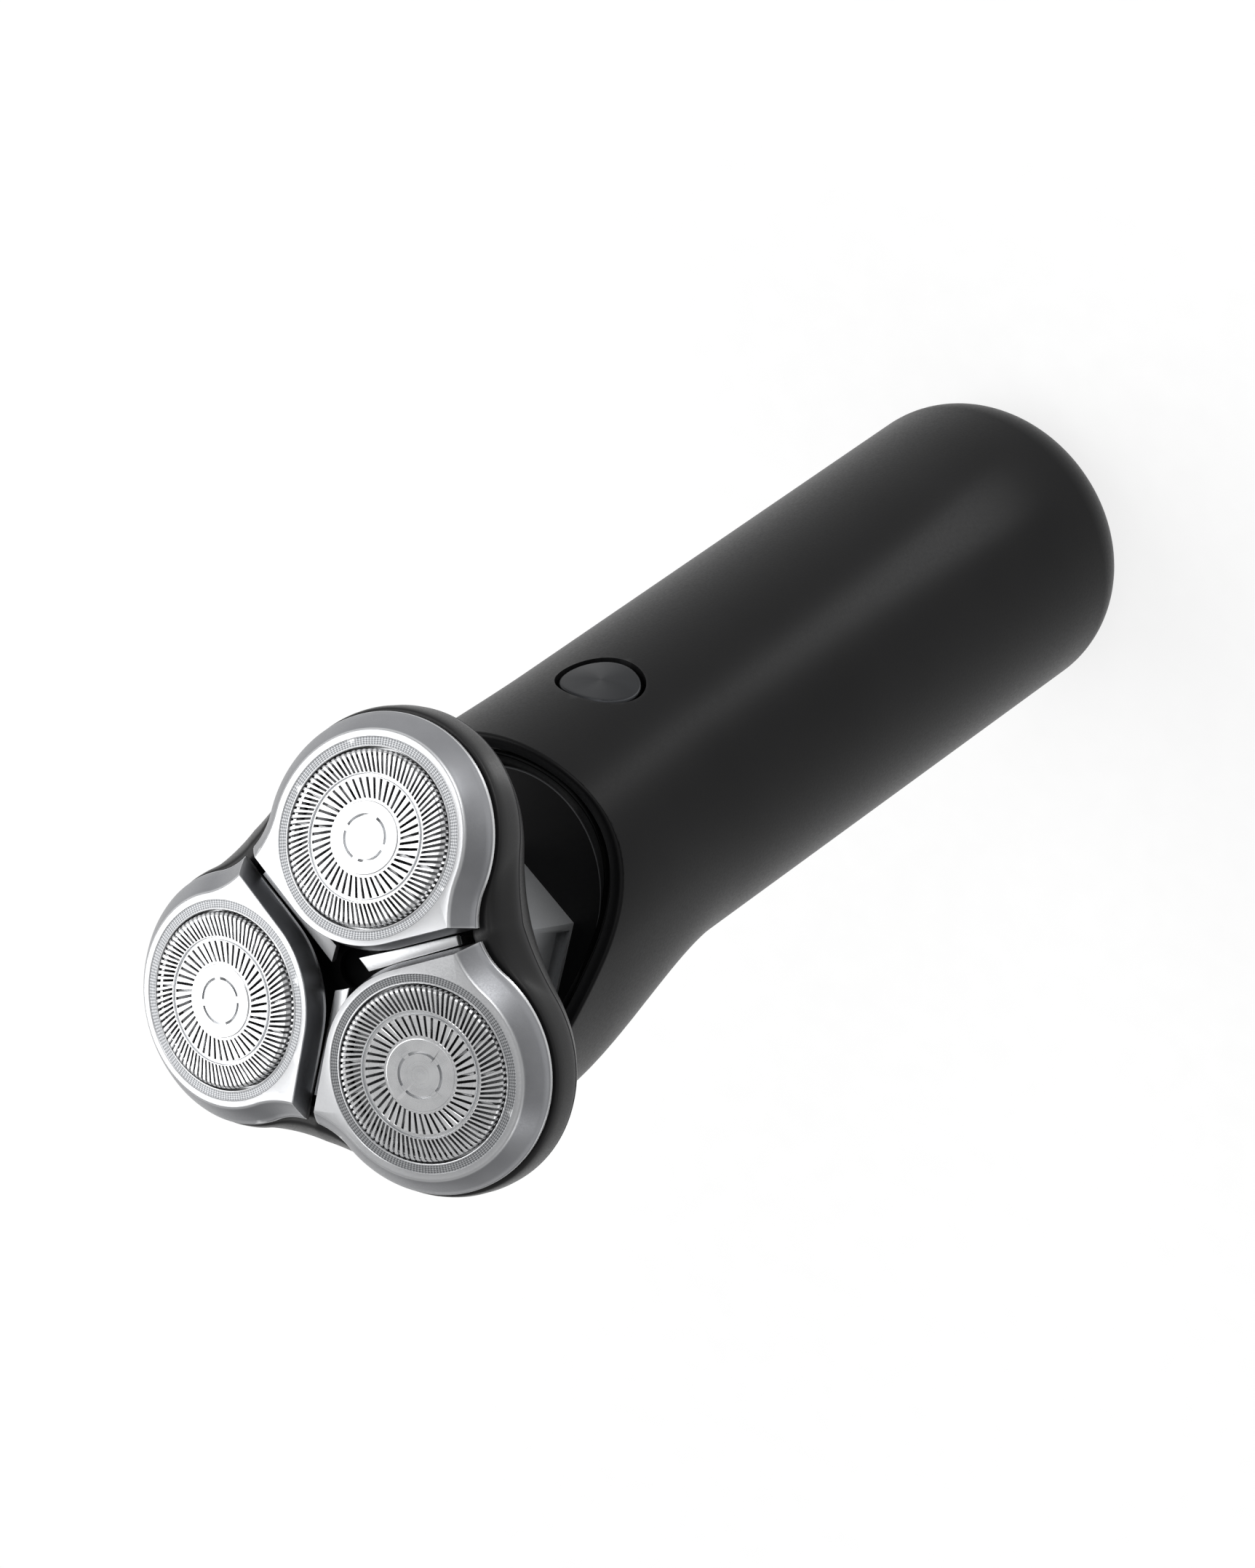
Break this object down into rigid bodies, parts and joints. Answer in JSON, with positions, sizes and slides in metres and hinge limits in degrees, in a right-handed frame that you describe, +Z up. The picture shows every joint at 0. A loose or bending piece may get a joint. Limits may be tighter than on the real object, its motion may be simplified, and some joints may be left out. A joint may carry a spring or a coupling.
{
  "type": "electric shaver",
  "caption": "Cordless rotary electric shaver with a round flared handle, a power button and a tilting trefoil head of floating cutters.",
  "frame": {"origin": "middle of the flat tail face that the shaver stands on", "axes": "+Z up the handle towards the head, -Y towards the power button, +X to the right when seen from the button side"},
  "size_m": [0.0586, 0.0604, 0.1579],
  "materials": {
    "soft_black": "fine soft-touch matt",
    "gloss_black": "polished",
    "head_black": "satin moulded",
    "inner_black": "moulded",
    "chassis_grey": "moulded",
    "neck_grey": "satin metallic",
    "button_metal": "dark anodised, turned",
    "satin_steel": "bead blasted",
    "cutter_steel": "ground bright",
    "bright_steel": "plain",
    "natural_nylon": "moulded",
    "seal_rubber": "matt",
    "board_green": "solder mask",
    "chip_black": "moulded",
    "cell_sleeve": "sleeved",
    "winding_copper": "lacquered wire",
    "magnet_dark": "sintered"
  },
  "bodies": {
    "handle": {"body_shell": "soft_black", "mouth_liner": "gloss_black", "bulkhead": "inner_black", "shaft_seal": "seal_rubber", "neck": "neck_grey", "chassis": "chassis_grey", "battery_cell": "cell_sleeve", "battery_tabs": "bright_steel", "circuit_board": "board_green", "board_parts": "chip_black", "power_switch": "inner_black", "charging_socket": "bright_steel", "socket_seal": "seal_rubber", "motor_can": "bright_steel", "motor_magnets": "magnet_dark", "motor_cap": "inner_black", "motor_screws": "bright_steel", "neck_screws": "bright_steel", "button_seal": "seal_rubber"},
    "button": {"power_button": "button_metal", "switch_plunger": "bright_steel"},
    "rotor": {"motor_shaft": "bright_steel", "armature": "winding_copper", "drive_coupling": "natural_nylon"},
    "gimbal": {"gimbal_ring": "chassis_grey", "pitch_pins": "bright_steel"},
    "head": {"under_cover": "head_black", "head_carrier": "head_black", "gear_plate": "inner_black", "head_deck": "inner_black", "blade_frame": "satin_steel", "head_screws": "bright_steel", "roll_pins": "bright_steel"},
    "centre_drive": {"centre_gear": "natural_nylon"},
    "front_segment": {"front_plate": "satin_steel", "front_holder": "inner_black", "front_guard": "cutter_steel", "front_cap": "cutter_steel"},
    "front_cutter": {"front_blade": "cutter_steel", "front_hub": "natural_nylon"},
    "front_drive": {"front_drive_gear": "natural_nylon", "front_spring": "bright_steel"},
    "right_segment": {"right_plate": "satin_steel", "right_holder": "inner_black", "right_guard": "cutter_steel", "right_cap": "cutter_steel"},
    "right_cutter": {"right_blade": "cutter_steel", "right_hub": "natural_nylon"},
    "right_drive": {"right_drive_gear": "natural_nylon", "right_spring": "bright_steel"},
    "left_segment": {"left_plate": "satin_steel", "left_holder": "inner_black", "left_guard": "cutter_steel", "left_cap": "cutter_steel"},
    "left_cutter": {"left_blade": "cutter_steel", "left_hub": "natural_nylon"},
    "left_drive": {"left_drive_gear": "natural_nylon", "left_spring": "bright_steel"}
  },
  "joints": [
    {"name": "button_press", "type": "slide", "parent": "handle", "child": "button", "axis": [0, 1, 0], "range_m": [0, 0.0006], "stiffness_N_per_m": 800, "springref_m": -0.0004},
    {"name": "rotor_spin", "type": "hinge", "parent": "handle", "child": "rotor", "pos_m": [0, 0.003, 0.09], "axis": [0, 0, 1], "continuous": true},
    {"name": "head_pitch", "type": "hinge", "parent": "handle", "child": "gimbal", "pos_m": [0, 0.003, 0.13209], "axis": [1, 0, 0], "range_deg": [-4, 4], "stiffness_Nm_per_rad": 1.5},
    {"name": "head_roll", "type": "hinge", "parent": "gimbal", "child": "head", "pos_m": [0, 0.003, 0.13209], "axis": [0, 0.9421, 0.3355], "range_deg": [-4, 4], "stiffness_Nm_per_rad": 1.5},
    {"name": "centre_gear_spin", "type": "hinge", "parent": "head", "child": "centre_drive", "pos_m": [0, -0.00082, 0.14282], "axis": [0, -0.3355, 0.9421], "continuous": true},
    {"name": "front_tilt", "type": "hinge", "parent": "head", "child": "front_segment", "pos_m": [0, -0.01775, 0.143], "axis": [1, 0, 0], "range_deg": [-2, 2], "stiffness_Nm_per_rad": 0.3},
    {"name": "front_blade_spin", "type": "hinge", "parent": "front_segment", "child": "front_cutter", "pos_m": [0, -0.01775, 0.143], "axis": [0, -0.4818, 0.8763], "continuous": true},
    {"name": "front_gear_spin", "type": "hinge", "parent": "head", "child": "front_drive", "pos_m": [0, -0.01579, 0.13749], "axis": [0, -0.3355, 0.9421], "continuous": true},
    {"name": "right_tilt", "type": "hinge", "parent": "head", "child": "right_segment", "pos_m": [0.01376, 0.0047, 0.15099], "axis": [-0.5, 0.8158, 0.2905], "range_deg": [-2, 2], "stiffness_Nm_per_rad": 0.3},
    {"name": "right_blade_spin", "type": "hinge", "parent": "right_segment", "child": "right_cutter", "pos_m": [0.01376, 0.0047, 0.15099], "axis": [0.1385, -0.2558, 0.9568], "continuous": true},
    {"name": "right_gear_spin", "type": "hinge", "parent": "head", "child": "right_drive", "pos_m": [0.01376, 0.00666, 0.14549], "axis": [0, -0.3355, 0.9421], "continuous": true},
    {"name": "left_tilt", "type": "hinge", "parent": "head", "child": "left_segment", "pos_m": [-0.01376, 0.0047, 0.15099], "axis": [-0.5, -0.8158, -0.2905], "range_deg": [-2, 2], "stiffness_Nm_per_rad": 0.3},
    {"name": "left_blade_spin", "type": "hinge", "parent": "left_segment", "child": "left_cutter", "pos_m": [-0.01376, 0.0047, 0.15099], "axis": [-0.1385, -0.2558, 0.9568], "continuous": true},
    {"name": "left_gear_spin", "type": "hinge", "parent": "head", "child": "left_drive", "pos_m": [-0.01376, 0.00666, 0.14549], "axis": [0, -0.3355, 0.9421], "continuous": true}
  ],
  "couplings": [
    {"joint": "centre_gear_spin", "follows": "rotor_spin", "ratio": 1},
    {"joint": "front_blade_spin", "follows": "rotor_spin", "ratio": -0.75},
    {"joint": "front_gear_spin", "follows": "rotor_spin", "ratio": -0.75},
    {"joint": "right_blade_spin", "follows": "rotor_spin", "ratio": -0.75},
    {"joint": "right_gear_spin", "follows": "rotor_spin", "ratio": -0.75},
    {"joint": "left_blade_spin", "follows": "rotor_spin", "ratio": -0.75},
    {"joint": "left_gear_spin", "follows": "rotor_spin", "ratio": -0.75}
  ]
}
